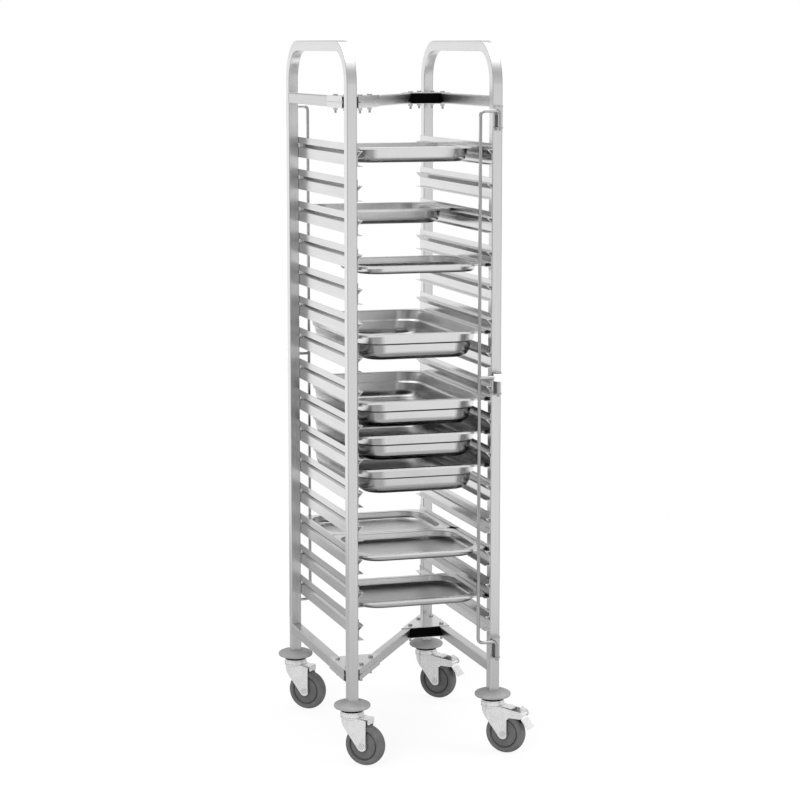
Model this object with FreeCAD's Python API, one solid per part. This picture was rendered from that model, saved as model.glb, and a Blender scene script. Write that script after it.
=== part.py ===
import FreeCAD, Part
import math
import os

from FreeCAD import Placement, Rotation, Vector

# A trolley for gastronorm trays, in millimetres: +Z up, +X to the right, -Y to the loading side.
# The origin is on the floor, midway between the four swivel axes.

# Trays that the trolley is built round.
gastro_length = 530.0
gastro_width = 325.0
half_tray_gap = 1.0          # between two half trays on one level
top_tray_back = 58.0         # the top tray stands this far in from the front end
rim_side_gap = 2.5           # from a tray rim to the post faces
post_overhang = 10.0         # posts stand this much past the tray ends

# Square tube frame.
tube = 25.0
tube_wall = 1.5
tube_corner = 2.0
hoop_bend = 87.5             # at the middle of the tube
hoop_rise = 129.0            # from the top rails to the top of the hoops
bottom_rail_z = 210.0
diagonal_width = 20.0

# Runners: sheet folded to a wedge with a ledge under it.
level_count = 15
level_pitch = 80.0
lowest_level_rise = 114.5    # from the top of the bottom rails to the lowest wedge
top_level_drop = 99.0        # from the underside of the top rails to the highest wedge
runner_sheet = 1.5
runner_flange = 14.5
runner_ledge = 13.0
runner_channel = 34.5        # from the wedge top down to the ledge

# Tray shells.
tray_sheet = 1.0
rim_width = 14.0
rim_lip = 5.0
rim_lip_sheet = 1.2
rim_corner = 26.0
rim_edge_round = 0.9
basin_corner = 56.0
basin_corner_loss = 2.0      # the corner radius shrinks by this to the floor
basin_draft_deg = 8.0
step_depth = 24.0            # from the rim down to the stacking shoulder
step_rise = 4.0              # height of the sloping shoulder
step_inset = 4.0
tray_seat_gap = 0.3
shallow = 20.0
medium = 37.0
deep = 65.0
floor_round_share = 0.45     # of the basin depth, up to floor_round_most
floor_round_most = 25.0

# Casters.
wheel_radius = 50.0
wheel_width = 30.0
wheel_shoulder = 3.5         # crown of the tread at its edges
caster_trail = 36.0
caster_turn_deg = -45.0
tyre_inner = 35.0
tyre_side_flat = 42.0        # radius where the side of the tyre is widest
groove_depth = 7.0
groove_width = 3.0
hub_boss_radius = 13.0
hub_web_recess = 3.0
hub_side_gap = 0.6
axle_radius = 5.0
axle_head_across = 13.0
axle_head_height = 3.0
wheel_side_gap = 3.0
bore_gap = 0.05
fork_sheet = 2.5
fork_plate = 3.0
fork_top_radius = 28.5
fork_back = 6.0              # middle of the rounded back, behind the swivel axis
fork_skirt = 8.5
fork_shoulder_drop = 5.0
fork_axle_round = 13.0
swivel_gap = 0.5
kingpin_radius = 7.0
kingpin_head_radius = 11.0
kingpin_head = 4.0
race_radius = 28.5
race_height = 11.0
race_step = 3.5              # height of the narrower ring on top of the race
race_step_inset = 2.5
caster_height = 128.0        # floor to the top of the race
seal_radius = 26.5
seal_height = 4.0
stem_radius = 6.0
stem_reach = 24.0            # of the stem inside the post
plug_height = 30.0
bumper_radius = 44.0
bumper_height = 20.5
bumper_flat = 19.0           # flat top under the post
bumper_rim_drop = 5.0
bumper_rim = 11.5
bumper_bulge = 1.4           # of the dome over a straight slope
bumper_foot = 27.0

# Wheel brake, in the caster's own frame: along the trail and up.
brake_pivot_along = 80.0
brake_pivot_up = 100.0
brake_pin_radius = 3.0
brake_hub_radius = 6.0
brake_side_gap = 0.5
pedal_sheet = 2.5
pedal_width = 34.0
pedal_bend_along = 5.5       # from the pivot
pedal_bend_down = 10.5
pedal_tip_along = 23.0
pedal_tip_down = 32.0
toe_bend_back = 2.0
toe_bend_up = 16.5
toe_tip_along = 9.0
toe_tip_up = 12.0
toe_width = 14.0
shoe_gap = 4.0               # from the tread
shoe_thickness = 8.5
shoe_width = 24.0
shoe_from_deg = 34.0
shoe_to_deg = 48.0

# Tab of the fork's top plate over the wheel: folded down on the plain forks, sloping on the braked ones.
guard_reach = 50.5
guard_width = 28.0
guard_drop = 13.0
bridge_reach = 57.0
bridge_drop = 2.5

# Corner brackets: two folded halves bolted round a rail and the diagonal.
bracket_sheet = 1.5
bracket_depth = 137.0        # from the post's face to the bracket's inner edge
bracket_split = 2.0
bracket_end_gap = 10.0       # from the rail flanges to the post
diagonal_flange_gap = 3.0    # from the diagonal flanges to the post
rail_plug = 9.0
bolt_radius = 3.0
bolt_hole_gap = 0.2
bolt_head_radius = 6.0
bolt_head_height = 3.6
bolt_tail = 13.0
nut_across = 10.0
nut_height = 6.0
rail_bolt_end = 28.0         # from the post's face
rail_bolt_spacing = 86.0
diagonal_rail_gap = 3.8      # from the diagonal's corner to the rail beside it
diagonal_bolt_end = 28.0     # from the diagonal's end
diagonal_bolt_spacing = 75.0
web_thickness = 3.0
ear_thickness = 2.0
ear_reach = 28.0
ear_tip_share = 0.3          # height of the ear's tip above the web's lower edge

# Retaining rods at both ends.
gate_rod = 8.0
gate_reach = 47.5            # from the pivot to the long run
gate_stand_off = 15.0        # pivot axis in front of the posts
gate_bend = 11.0
gate_pin_bend = 8.0
gate_pin = 46.0
gate_top_drop = 9.0          # top arm below the top rails
gate_bottom_rise = 54.5      # bottom arm above the bottom rails
gate_middle_share = 0.506
eye_sheet = 2.0
eye_width = 24.0
eye_above = 12.0
eye_below = 44.0
eye_tab_round = 8.5
eye_tab_up = 4.0             # lower tab above the plate's lower edge
pad_inset = 6.0              # from the plate's edge
pad_width = 5.0
pad_depth = 4.0
pad_top_gap = 9.5
grip_width = 22.0
grip_depth = 17.0
grip_height = 17.0
grip_round = 6.0

cut_over = 1.0               # how far every cutting shape runs past what it cuts

# Derived sizes.
overall_width = gastro_width + 2 * (rim_side_gap + tube)
overall_depth = gastro_length + 2 * post_overhang
half_width = overall_width / 2
half_depth = overall_depth / 2
post_x = half_width - tube / 2
post_y = half_depth - tube / 2
inner_x = half_width - tube
inner_y = half_depth - tube
post_foot = caster_height + seal_height + bumper_height
bottom_rail_top = bottom_rail_z + tube / 2
lowest_level = bottom_rail_top + lowest_level_rise
top_level = lowest_level + (level_count - 1) * level_pitch
top_rail_z = top_level + top_level_drop + tube / 2
hoop_top_z = top_rail_z + hoop_rise
diagonal_angle = math.atan2(post_y, post_x)
diagonal_side = diagonal_width / 2 * math.sin(diagonal_angle)
diagonal_half = (inner_x - diagonal_rail_gap - diagonal_side) / math.cos(diagonal_angle)
diagonal_bolt_outer = diagonal_half - diagonal_bolt_end
diagonal_bolt_inner = diagonal_bolt_outer - diagonal_bolt_spacing
bracket_inner = inner_y - bracket_depth
rail_bolt_outer = inner_y - rail_bolt_end
rail_bolt_inner = rail_bolt_outer - rail_bolt_spacing
fork_inner = wheel_width / 2 + wheel_side_gap
fork_outer = fork_inner + fork_sheet
race_bottom = caster_height - race_height
fork_top = race_bottom - swivel_gap
axle_up = wheel_radius
fork_front = caster_trail + fork_axle_round - fork_sheet
fork_shoulder = math.sqrt(fork_top_radius ** 2 - fork_outer ** 2)
gate_axis_y = -(half_depth + gate_stand_off)
gate_top = top_rail_z - tube / 2 - gate_top_drop
gate_bottom = bottom_rail_top + gate_bottom_rise
gate_middle = gate_bottom + gate_middle_share * (gate_top - gate_bottom)
half_length = (gastro_length - half_tray_gap) / 2

up = Vector(0, 0, 1)
nodes = {}


def block(low, high):
    """Box between two opposite corners."""
    return Part.makeBox(high[0] - low[0], high[1] - low[1], high[2] - low[2], Vector(*low))


def disc(radius, low, high, x=0, y=0):
    """Upright cylinder between two heights."""
    return Part.makeCylinder(radius, high - low, Vector(x, y, low), up)


def bar(radius, start, end):
    """Cylinder from one point to another."""
    run = end - start
    return Part.makeCylinder(radius, run.Length, start, run)


def plan_prism(outline, low, high):
    """Flat outline in plan, raised from one height to another."""
    points = [Vector(x, y, low) for x, y in outline]
    face = Part.Face(Part.makePolygon(points + points[:1]))
    return face.extrude(up * (high - low))


def side_prism(outline, low, high):
    """Outline in X and Z, drawn out along Y."""
    points = [Vector(x, low, z) for x, z in outline]
    face = Part.Face(Part.makePolygon(points + points[:1]))
    return face.extrude(Vector(0, high - low, 0))


def turned_profile(outline, axis):
    """Closed outline of radius and distance, turned round an axis through the origin."""
    points = [Vector(radius, 0, 0) + Vector(0, 0, along) for radius, along in outline]
    face = Part.Face(Part.makePolygon(points + points[:1]))
    solid = face.revolve(Vector(0, 0, 0), up, 360)
    if axis != up:
        solid = solid.transformGeometry(Placement(Vector(), Rotation(up, axis)).toMatrix())
    return solid


def joined(shapes):
    """One solid from touching or overlapping ones."""
    return shapes[0].fuse(shapes[1:]).removeSplitter()


def opposite(shape):
    """The same piece at the diagonally opposite corner of the trolley."""
    copy = shape.copy()
    copy.rotate(Vector(0, 0, 0), up, 180)
    return copy


def mirrored(shape):
    """The same piece on the other side of the trolley."""
    return shape.mirror(Vector(0, 0, 0), Vector(1, 0, 0))


def moved(shape, x=0, y=0, z=0):
    """A copy, carried by a distance."""
    copy = shape.copy()
    copy.translate(Vector(x, y, z))
    return copy


def hexagon(across, low, high, x=0, y=0):
    """Upright hexagonal prism with a given size across its flats."""
    reach = across / (2 * math.cos(math.pi / 6))
    corners = [math.pi / 3 * turn for turn in range(6)]
    outline = [(x + reach * math.cos(a), y + reach * math.sin(a)) for a in corners]
    return plan_prism(outline, low, high)


def rounded_outline(half_x, half_y, radius, z):
    """Wire of a rounded rectangle round the Z axis."""
    ends = []
    for turn, (side_x, side_y) in enumerate([(1, 1), (-1, 1), (-1, -1), (1, -1)]):
        middle = Vector(side_x * (half_x - radius), side_y * (half_y - radius), z)
        angles = [math.pi / 2 * (turn + part / 2) for part in range(3)]
        ends.append([middle + Vector(math.cos(a), math.sin(a), 0) * radius for a in angles])
    edges = []
    for turn, corner in enumerate(ends):
        edges.append(Part.Arc(*corner).toShape())
        edges.append(Part.LineSegment(corner[2], ends[(turn + 1) % 4][0]).toShape())
    return Part.Wire(edges)


def rounded_block(half_x, half_y, radius, low, high):
    """Upright block with rounded corners round the Z axis."""
    return Part.Face(rounded_outline(half_x, half_y, radius, low)).extrude(up * (high - low))


def section(middle, width, height, corner, run, level):
    """Rounded rectangle across a run, its height towards a level direction."""
    face = Part.Face(rounded_outline(width / 2, height / 2, corner, 0))
    face.Placement = Placement(middle, Rotation(level.cross(run), level, run, "ZXY"))
    return face


def hoop_core(skin):
    """Solid square bar bent to the hoop's shape by the right posts, smaller by a skin all round."""
    side = tube - 2 * skin
    corner = tube_corner - skin
    leg_top = hoop_top_z - hoop_bend
    bend_y = post_y - hoop_bend
    along = Vector(0, 1, 0)
    low = section(Vector(post_x, -post_y, post_foot), side, side, corner, up, along)
    high = section(Vector(post_x, -post_y, leg_top), side, side, corner, up, along)
    level = section(Vector(post_x, -bend_y, hoop_top_z), side, side, corner, along, up)
    leg = low.extrude(up * (leg_top - post_foot))
    bend = high.revolve(Vector(post_x, -bend_y, leg_top), Vector(-1, 0, 0), 90)
    bar_top = level.extrude(along * (2 * bend_y))
    far = opposite(joined([leg, bend]))
    far.translate(Vector(2 * post_x, 0, 0))
    return joined([leg, bend, bar_top, far])


def hoop():
    """Two posts and their bent top in one tube."""
    return hoop_core(0).cut(hoop_core(tube_wall))


def bolt_places():
    """Where the rear right bracket's bolts stand in plan."""
    places = [(post_x, rail_bolt_inner), (post_x, rail_bolt_outer)]
    for run in (diagonal_bolt_inner, diagonal_bolt_outer):
        places.append(along_diagonal(run, 0))
    return places


def along_diagonal(run, aside):
    """Plan point at a distance along the diagonal and to its left."""
    c = math.cos(diagonal_angle)
    s = math.sin(diagonal_angle)
    return run * c - aside * s, run * s + aside * c


def run_at(y, aside):
    """Distance along the diagonal where a line beside it crosses a given Y."""
    return (y - aside * math.cos(diagonal_angle)) / math.sin(diagonal_angle)


def drilled(shape, z):
    """Bolt holes of a rear right corner bracket, cut through a rail or diagonal."""
    reach = tube / 2 + bracket_sheet + cut_over
    for x, y in bolt_places():
        shape = shape.cut(disc(bolt_radius + bolt_hole_gap, z - reach, z + reach, x, y))
    return shape


def straight_tube(start, end, width, height):
    """Hollow tube with rounded edges between two points, open at both ends."""
    run = (end - start).normalize()
    over = run * cut_over
    wall = tube_wall
    outer = section(start, width, height, tube_corner, run, up).extrude(end - start)
    inner = section(start - over, width - 2 * wall, height - 2 * wall, tube_corner - wall, run, up)
    return outer.cut(inner.extrude(end - start + over * 2))


def side_rail(z):
    """Right rail, short of the rear post by its end plug."""
    start = Vector(post_x, -inner_y, z)
    end = Vector(post_x, inner_y - rail_plug, z)
    return drilled(straight_tube(start, end, tube, tube), z)


def diagonal(z):
    """Cross member from corner bracket to corner bracket."""
    end = Vector(*along_diagonal(diagonal_half, 0), z)
    start = Vector(-end.x, -end.y, z)
    shell = drilled(straight_tube(start, end, diagonal_width, tube), z)
    return opposite(drilled(opposite(shell), z))


def bracket_half():
    """Upper half of the rear right bracket, with the rail's middle at height 0."""
    side = diagonal_width / 2
    skin = bracket_sheet
    low = tube / 2
    high = low + skin
    split = bracket_split / 2
    near = run_at(bracket_inner, side)
    far = run_at(inner_y, side)
    plate = plan_prism([along_diagonal(near, side), (half_width, bracket_inner),
                        (half_width, inner_y), along_diagonal(far, side)], low, high)
    flange_end = inner_y - bracket_end_gap
    rail_flange = block((half_width, bracket_inner, split), (half_width + skin, flange_end, high))
    stop = run_at(inner_y - diagonal_flange_gap, side)
    outline = [along_diagonal(near, side), along_diagonal(stop, side),
               along_diagonal(stop, side + skin), along_diagonal(near, side + skin)]
    diagonal_flange = plan_prism(outline, split, high)
    return drilled(joined([plate, rail_flange, diagonal_flange]), 0)


def corner_bracket(z):
    """Both halves of the rear right bracket."""
    half = bracket_half()
    lower = half.mirror(Vector(0, 0, 0), up)
    return [moved(half, z=z), moved(lower, z=z)]


def bracket_insert(z):
    """Moulded web across the rear right bracket's mouth, with an ear along each tube."""
    side = diagonal_width / 2
    half = tube / 2
    low = z - half
    back = bracket_inner + web_thickness
    web = [along_diagonal(run_at(bracket_inner, -side), -side), (inner_x, bracket_inner),
           (inner_x, back), along_diagonal(run_at(back, -side), -side)]
    body = plan_prism(web, low, z + half)
    tip = low + ear_tip_share * tube
    rail_ear = Part.Face(Part.makePolygon([
        Vector(inner_x, bracket_inner, z + half), Vector(inner_x, bracket_inner - ear_reach, tip),
        Vector(inner_x, bracket_inner, low), Vector(inner_x, bracket_inner, z + half)]))
    rail_ear = rail_ear.extrude(Vector(-ear_thickness, 0, 0))
    start = run_at(bracket_inner, -side)
    corner = Vector(*along_diagonal(start, -side), low)
    reach = Vector(*along_diagonal(start - ear_reach, -side), tip)
    top = Vector(corner.x, corner.y, z + half)
    outward = Vector(*along_diagonal(0, -ear_thickness), 0)
    diagonal_ear = Part.Face(Part.makePolygon([top, reach, corner, top])).extrude(outward)
    return joined([body, rail_ear, diagonal_ear])


def rail_end_plug(z):
    """Moulded plug between the rear end of the right rail and its post."""
    half = tube / 2
    return block((post_x - half, inner_y - rail_plug, z - half), (post_x + half, inner_y, z + half))


def bracket_bolt(x, y, z):
    """Dome headed bolt through both halves of a bracket."""
    top = z + tube / 2 + bracket_sheet
    bottom = z - tube / 2 - bracket_sheet - bolt_tail
    head = disc(bolt_head_radius, top, top + bolt_head_height, x, y)
    rim = [e for e in head.Edges if e.BoundBox.ZMin > top + bolt_head_height / 2
           and e.BoundBox.XLength > bolt_head_radius]
    head = head.makeFillet(bolt_head_height / 2, rim)
    return joined([head, disc(bolt_radius, bottom, top, x, y)])


def bracket_nut(x, y, z):
    """Nut under the lower half of a bracket."""
    top = z - tube / 2 - bracket_sheet
    body = hexagon(nut_across, top - nut_height, top, x, y)
    return body.cut(disc(bolt_radius, top - nut_height - cut_over, top + cut_over, x, y))


def strip_outline(points, thickness):
    """Outline of folded sheet along a line of bends, with mitred corners."""
    half = thickness / 2
    left = []
    right = []
    for index, (x, z) in enumerate(points):
        before = points[max(index - 1, 0)]
        after = points[min(index + 1, len(points) - 1)]
        into = Vector(x - before[0], 0, z - before[1])
        out = Vector(after[0] - x, 0, after[1] - z)
        if index == 0:
            into = out
        if index == len(points) - 1:
            out = into
        into.normalize()
        out.normalize()
        side = Vector(-into.z - out.z, 0, into.x + out.x)
        side.normalize()
        reach = half / (side.x * -into.z + side.z * into.x)
        left.append((x + side.x * reach, z + side.z * reach))
        right.append((x - side.x * reach, z - side.z * reach))
    return left + right[::-1]


def runner(wedge_top):
    """Right runner of one level: flange, wedge and ledge in one folded sheet."""
    half = runner_sheet / 2
    wall = inner_x - half
    wedge = wedge_top - half
    tip = inner_x - runner_ledge + runner_sheet
    ledge = wedge_top - runner_channel - half
    line = [(wall, wedge_top + runner_flange), (wall, wedge), (tip, wedge),
            (wall, wedge - (wall - tip)), (wall, ledge), (inner_x - runner_ledge, ledge)]
    return side_prism(strip_outline(line, runner_sheet), -half_depth, half_depth)


def level_top(level):
    """Height of a wedge, with level 1 at the top."""
    return top_level - (level - 1) * level_pitch


def basin(half_x, half_y, depth, skin):
    """Filled basin shape under a rim at height 0, smaller by a skin all round."""
    half_x = half_x - skin
    half_y = half_y - skin
    depth = depth - skin
    corner = basin_corner - skin
    floor_round = min(floor_round_share * depth, floor_round_most - skin)
    draft = math.tan(math.radians(basin_draft_deg))
    levels = [(0, 0), (0, depth)]
    step = step_depth - skin
    if depth > step + step_rise + floor_round:
        levels = [(0, 0), (0, step), (step_inset, step + step_rise), (step_inset, depth)]
    rims = []
    for inset, level in levels:
        loss = inset + level * draft
        radius = corner - basin_corner_loss * level / depth
        rims.append(rounded_outline(half_x - loss, half_y - loss, radius, -level))
    body = Part.makeLoft(rims, True, True)
    low = [e for e in body.Edges if e.BoundBox.ZMax < -depth + tray_sheet / 2]
    return body.makeFillet(floor_round, low)


def tray(length, depth):
    """Pressed tray with a flat rim and a turned down lip, its lip's edge at height 0."""
    half_x = gastro_width / 2
    half_y = length / 2
    basin_x = half_x - rim_width
    basin_y = half_y - rim_width
    shell = basin(basin_x, basin_y, depth, 0)
    hollow = basin(basin_x, basin_y, depth, tray_sheet)
    mouth = rounded_block(basin_x - tray_sheet, basin_y - tray_sheet, basin_corner - tray_sheet,
                          -tray_sheet - cut_over, cut_over)
    rim = rounded_block(half_x, half_y, rim_corner, -tray_sheet, 0).cut(mouth)
    wall = rim_lip_sheet
    lip = rounded_block(half_x, half_y, rim_corner, -rim_lip, 0)
    lip = lip.cut(rounded_block(half_x - wall, half_y - wall, rim_corner - wall,
                                -rim_lip - cut_over, cut_over))
    body = joined([shell.cut(hollow).cut(mouth), rim, lip])
    near = half_x - tray_sheet
    edges = []
    for edge in body.Edges:
        box = edge.BoundBox
        outside = max(box.XMax, -box.XMin) > near or max(box.YMax, -box.YMin) > half_y - tray_sheet
        if box.ZMin > -tray_sheet / 2 and outside:
            edges.append(edge)
    return moved(body.makeFillet(rim_edge_round, edges), z=rim_lip)


def place_trays():
    """Every tray on its level: name, length, depth, level, on the wedge or not, its middle along Y."""
    whole = gastro_length
    part = half_length
    rear = (half_length + half_tray_gap) / 2
    front = -rear
    rows = [
        ("tray_level_01_front", part, medium, 1, True, front + top_tray_back),
        ("tray_level_03_rear", part, medium, 3, True, rear),
        ("tray_level_04_front", part, shallow, 4, False, front),
        ("tray_level_06", whole, deep, 6, False, 0),
        ("tray_level_08", whole, deep, 8, False, 0),
        ("tray_level_09", whole, deep, 9, False, 0),
        ("tray_level_10", whole, deep, 10, False, 0),
        ("tray_level_13_rear", part, shallow, 13, True, rear),
        ("tray_level_13_front", part, shallow, 13, True, front),
        ("tray_level_14_front", part, shallow, 14, False, front),
    ]
    made = {}
    for name, length, depth, level, on_wedge, middle in rows:
        if (length, depth) not in made:
            made[length, depth] = tray(length, depth)
        seat = level_top(level) if on_wedge else level_top(level) - runner_channel
        nodes[name] = [moved(made[length, depth], y=middle, z=seat + tray_seat_gap)]


def caster_place(shape, side_x, side_y):
    """From the caster's own frame to a corner of the trolley."""
    copy = shape.copy()
    copy.rotate(Vector(0, 0, 0), up, caster_turn_deg)
    copy.translate(Vector(side_x * post_x, side_y * post_y, 0))
    return copy


def fork_side_outline():
    """Side view of the fork's sheet, along the trail and up: back, slanted edge, axle lobe, shoulder."""
    along = caster_trail
    ring = fork_axle_round
    low = [(along + ring * math.cos(a), axle_up + ring * math.sin(a))
           for a in [math.radians(step * 15) for step in range(-9, 1)]]
    behind = -(fork_back + fork_outer + cut_over)
    return [(behind, fork_top), (behind, fork_top - fork_skirt),
            (0, axle_up + wheel_radius / 2)] + low \
        + [(fork_front, fork_top - fork_shoulder_drop), (fork_shoulder, fork_top)]


def brake_arm_outline():
    """Arm of a braked fork's side, out to the pedal pivot."""
    along = brake_pivot_along
    height = brake_pivot_up
    ring = brake_hub_radius + fork_sheet
    end = [(along + ring * math.cos(a), height + ring * math.sin(a))
           for a in [math.radians(step * 20) for step in range(3, -5, -1)]]
    root = caster_trail + fork_axle_round
    return [(fork_shoulder, fork_top)] + end \
        + [(root + ring / 2, height - ring), (root, height - 1.5 * ring), (fork_shoulder, height - 1.5 * ring)]


def fork_channel(side, front):
    """Solid with straight sides and a round back, the plan of the fork's sheet."""
    straight = block((-fork_back, -side, 0), (front, side, fork_top))
    return joined([straight, disc(side, 0, fork_top, -fork_back)])


def fork(braked):
    """Drawn fork with a round top plate, a tab over the wheel and two legs, in the caster's own frame."""
    plate_low = fork_top - fork_plate
    sheet = fork_channel(fork_outer, fork_front).cut(fork_channel(fork_inner, fork_front + cut_over))
    reach = fork_outer + cut_over
    pieces = [disc(fork_top_radius, plate_low, fork_top),
              sheet.common(side_prism(fork_side_outline(), -reach, reach)),
              top_tab(fork_front, bridge_reach, bridge_drop) if braked
              else top_tab(guard_reach, guard_reach, guard_drop)]
    if braked:
        for side in (-1, 1):
            low, high = sorted((side * fork_inner, side * fork_outer))
            pieces.append(side_prism(brake_arm_outline(), low, high))
    body = joined(pieces)
    body = body.cut(disc(kingpin_radius + bore_gap, plate_low - cut_over, fork_top + cut_over))
    body = body.cut(bar(axle_radius, Vector(caster_trail, -reach, axle_up),
                        Vector(caster_trail, reach, axle_up)))
    if braked:
        body = body.cut(bar(brake_pin_radius, Vector(brake_pivot_along, -reach, brake_pivot_up),
                            Vector(brake_pivot_along, reach, brake_pivot_up)))
    return body


def top_tab(bend, reach, drop):
    """Tab of the fork's top plate over the tread, level up to its bend and then down."""
    middle = fork_top - fork_plate / 2
    line = [(fork_shoulder, middle), (bend, middle), (reach, middle - drop)]
    return side_prism(strip_outline(line, fork_plate), -guard_width / 2, guard_width / 2)


def axle():
    """Wheel bolt with its head and nut outside the fork, in the caster's own frame."""
    tall = fork_outer + axle_head_height
    pin = disc(axle_radius, -tall, tall)
    head = hexagon(axle_head_across, fork_outer, tall)
    foot = hexagon(axle_head_across, -tall, -fork_outer)
    return lay_on_axle(joined([pin, head, foot]))


def lay_on_axle(shape):
    """From a shape about the Z axis to the wheel's place and axis."""
    copy = shape.copy()
    copy.rotate(Vector(0, 0, 0), Vector(1, 0, 0), 90)
    copy.translate(Vector(caster_trail, 0, axle_up))
    return copy


def tyre():
    """Tread ring with a crowned face."""
    half = wheel_width / 2
    shoulder = half - wheel_shoulder / 2
    edge = wheel_radius - wheel_shoulder
    points = [(tyre_inner, half - groove_depth), (tyre_inner + groove_width / 2, half - cut_over),
              (tyre_side_flat, half), (edge, shoulder)]
    mirror = [(radius, -along) for radius, along in reversed(points)]
    places = [Vector(radius, 0, along) for radius, along in points]
    others = [Vector(radius, 0, along) for radius, along in mirror]
    edges = [Part.LineSegment(a, b).toShape() for a, b in zip(places, places[1:])]
    edges.append(Part.Arc(places[-1], Vector(wheel_radius, 0, 0), others[0]).toShape())
    edges += [Part.LineSegment(a, b).toShape() for a, b in zip(others, others[1:])]
    edges.append(Part.LineSegment(others[-1], places[0]).toShape())
    ring = Part.Face(Part.Wire(edges)).revolve(Vector(0, 0, 0), up, 360)
    return lay_on_axle(ring)


def hub():
    """Wheel centre inside the tyre, bored for the axle."""
    half = wheel_width / 2
    boss = fork_inner - hub_side_gap
    web = half - hub_web_recess
    rim = half - groove_depth
    points = [(axle_radius + bore_gap, boss), (hub_boss_radius, boss), (hub_boss_radius, web),
              (tyre_inner - groove_width, web), (tyre_inner - groove_width / 2, rim),
              (tyre_inner, rim)]
    points = points + [(radius, -along) for radius, along in reversed(points)]
    return lay_on_axle(turned_profile(points, up))


def swivel_race():
    """Fixed part of the swivel: kingpin, race and stem in one turned piece."""
    plate_low = fork_top - fork_plate
    head_top = plate_low - swivel_gap
    step = race_radius - race_step_inset
    step_low = caster_height - race_step
    outline = [(0, head_top - kingpin_head), (kingpin_head_radius, head_top - kingpin_head),
               (kingpin_head_radius, head_top), (kingpin_radius, head_top),
               (kingpin_radius, race_bottom), (race_radius, race_bottom),
               (race_radius, step_low), (step, step_low), (step, caster_height),
               (stem_radius, caster_height), (stem_radius, post_foot + stem_reach),
               (0, post_foot + stem_reach)]
    return turned_profile(outline, up)


def swivel_seal():
    """Black ring between the race and the bumper."""
    top = caster_height + seal_height
    ring = disc(seal_radius, caster_height, top)
    return ring.cut(disc(stem_radius, caster_height - cut_over, top + cut_over))


def bumper():
    """Lens shaped disc that keeps the post off walls."""
    foot = caster_height + seal_height
    rim_top = post_foot - bumper_rim_drop
    rim_low = rim_top - bumper_rim
    middle = Vector(bumper_radius, 0, (rim_top + rim_low) / 2)
    start = Vector(bumper_radius - bumper_rim / 3, 0, rim_top)
    end = Vector(bumper_radius - bumper_rim / 3, 0, rim_low)
    shoulder = Vector((bumper_flat + start.x) / 2, 0, (post_foot + rim_top) / 2 + bumper_bulge)
    flat = Vector(bumper_flat, 0, post_foot)
    bottom = Vector(bumper_foot, 0, foot)
    inner_top = Vector(stem_radius, 0, post_foot)
    inner_low = Vector(stem_radius, 0, foot)
    edges = [Part.LineSegment(inner_low, inner_top).toShape(), Part.LineSegment(inner_top, flat).toShape(),
             Part.Arc(flat, shoulder, start).toShape(), Part.Arc(start, middle, end).toShape(),
             Part.LineSegment(end, bottom).toShape(), Part.LineSegment(bottom, inner_low).toShape()]
    return Part.Face(Part.Wire(edges)).revolve(Vector(0, 0, 0), up, 360)


def post_plug():
    """Square plug in the foot of a post, round the caster's stem."""
    half = tube / 2 - tube_wall
    top = post_foot + plug_height
    body = block((-half, -half, post_foot), (half, half, top))
    return body.cut(disc(stem_radius, post_foot - cut_over, post_foot + stem_reach))


def brake_pin():
    """Pivot of the pedal across the brake arms."""
    place = Vector(brake_pivot_along, 0, brake_pivot_up)
    reach = Vector(0, fork_outer, 0)
    return bar(brake_pin_radius, place - reach, place + reach)


def brake_pedal():
    """Lever with a broad foot plate and a short release toe, bored for its pin."""
    along = brake_pivot_along
    height = brake_pivot_up
    reach = fork_inner - brake_side_gap
    hub_end = Vector(0, reach, 0)
    place = Vector(along, 0, height)
    foot = [(along, height), (along + pedal_bend_along, height - pedal_bend_down),
            (along + pedal_tip_along, height - pedal_tip_down)]
    toe = [(along, height), (along - toe_bend_back, height + toe_bend_up),
           (along + toe_tip_along, height + toe_tip_up)]
    pieces = [bar(brake_hub_radius, place - hub_end, place + hub_end),
              side_prism(strip_outline(foot, pedal_sheet), -pedal_width / 2, pedal_width / 2),
              side_prism(strip_outline(toe, pedal_sheet), -toe_width / 2, toe_width / 2)]
    body = joined(pieces)
    over = hub_end + Vector(0, cut_over, 0)
    return body.cut(bar(brake_pin_radius + bore_gap, place - over, place + over))


def brake_shoe():
    """Rubber shoe under the pedal, curved like the tread."""
    inner = wheel_radius + shoe_gap
    outer = inner + shoe_thickness
    ring = disc(outer, -shoe_width / 2, shoe_width / 2)
    ring = ring.cut(disc(inner, -shoe_width, shoe_width))
    ring.rotate(Vector(0, 0, 0), Vector(1, 0, 0), 90)
    angles = [math.radians(a) for a in (shoe_from_deg, shoe_to_deg)]
    far = 2 * outer
    wedge = [(0, 0)] + [(far * math.cos(a), far * math.sin(a)) for a in angles]
    piece = ring.common(side_prism(wedge, -shoe_width, shoe_width))
    piece.translate(Vector(caster_trail, 0, axle_up))
    return piece.cut(brake_pedal()).cut(brake_pin())


def bent_rod(points, bends, radius):
    """Round bar along straight runs with a bend at every inner point."""
    edges = []
    start = points[0]
    for index, bend in enumerate(bends):
        corner = points[index + 1]
        before = (points[index] - corner).normalize()
        after = (points[index + 2] - corner).normalize()
        half = before.getAngle(after) / 2
        run = bend / math.tan(half)
        first = corner + before * run
        last = corner + after * run
        middle = corner + (before + after).normalize() * (bend / math.sin(half) - bend)
        edges.append(Part.LineSegment(start, first).toShape())
        edges.append(Part.Arc(first, middle, last).toShape())
        start = last
    edges.append(Part.LineSegment(start, points[-1]).toShape())
    path = Part.Wire(edges)
    ring = Part.Wire(Part.makeCircle(radius, points[0], points[1] - points[0]))
    return path.makePipeShell([ring], True, False)


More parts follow.
